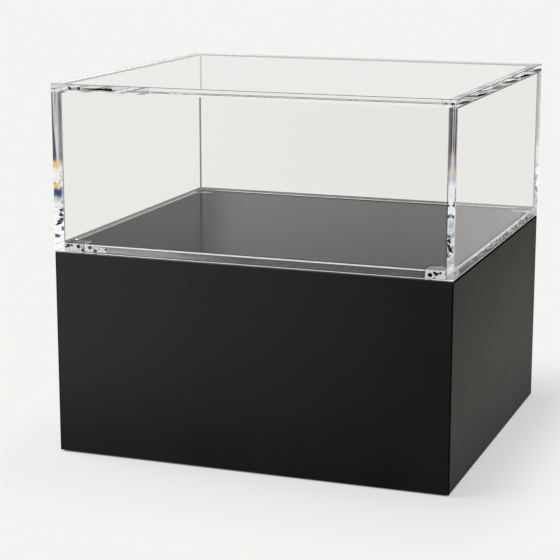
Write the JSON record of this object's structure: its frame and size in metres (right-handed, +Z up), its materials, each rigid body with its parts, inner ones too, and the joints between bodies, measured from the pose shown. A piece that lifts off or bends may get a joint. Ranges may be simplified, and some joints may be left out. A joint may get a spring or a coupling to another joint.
{
  "type": "acrylic display case",
  "caption": "Clear box-shaped display cover that lifts off a tall black plinth with a raised deck for an exhibit.",
  "frame": {"origin": "centre of the footprint, on the surface that the foot pads stand on", "axes": "+X along the width to the right seen from the front, +Y to the back, +Z up"},
  "size_m": [0.5, 0.45, 0.46],
  "materials": {
    "clear_acrylic": "polished clear",
    "black_deck": "satin black",
    "black_lacquer": "satin black lacquer on board",
    "raw_board": "raw board",
    "screw_steel": "zinc plated",
    "pad_rubber": "black rubber"
  },
  "bodies": {
    "plinth": {"bottom_board_screws": "screw_steel", "deck_screws": "screw_steel", "display_deck": "black_deck", "foot_pad_back_left": "pad_rubber", "foot_pad_back_right": "pad_rubber", "foot_pad_front_left": "pad_rubber", "foot_pad_front_right": "pad_rubber", "plinth_back_panel": "black_lacquer", "plinth_bottom_board": "raw_board", "plinth_corner_post_back_left": "raw_board", "plinth_corner_post_back_right": "raw_board", "plinth_corner_post_front_left": "raw_board", "plinth_corner_post_front_right": "raw_board", "plinth_front_panel": "black_lacquer", "plinth_left_panel": "black_lacquer", "plinth_right_panel": "black_lacquer", "plinth_top_board": "black_lacquer", "top_cleat_back": "raw_board", "top_cleat_front": "raw_board", "top_cleat_left": "raw_board", "top_cleat_right": "raw_board"},
    "cover": {"cover_back_panel": "clear_acrylic", "cover_corner_block_back_left": "clear_acrylic", "cover_corner_block_back_right": "clear_acrylic", "cover_corner_block_front_left": "clear_acrylic", "cover_corner_block_front_right": "clear_acrylic", "cover_front_panel": "clear_acrylic", "cover_left_panel": "clear_acrylic", "cover_right_panel": "clear_acrylic", "cover_rim_strip_back": "clear_acrylic", "cover_rim_strip_front": "clear_acrylic", "cover_rim_strip_left": "clear_acrylic", "cover_rim_strip_right": "clear_acrylic", "cover_top_panel": "clear_acrylic"}
  },
  "joints": [
    {"name": "cover_lift", "type": "slide", "parent": "plinth", "child": "cover", "axis": [0, 0, 1], "range_m": [0, 0.25]}
  ]
}
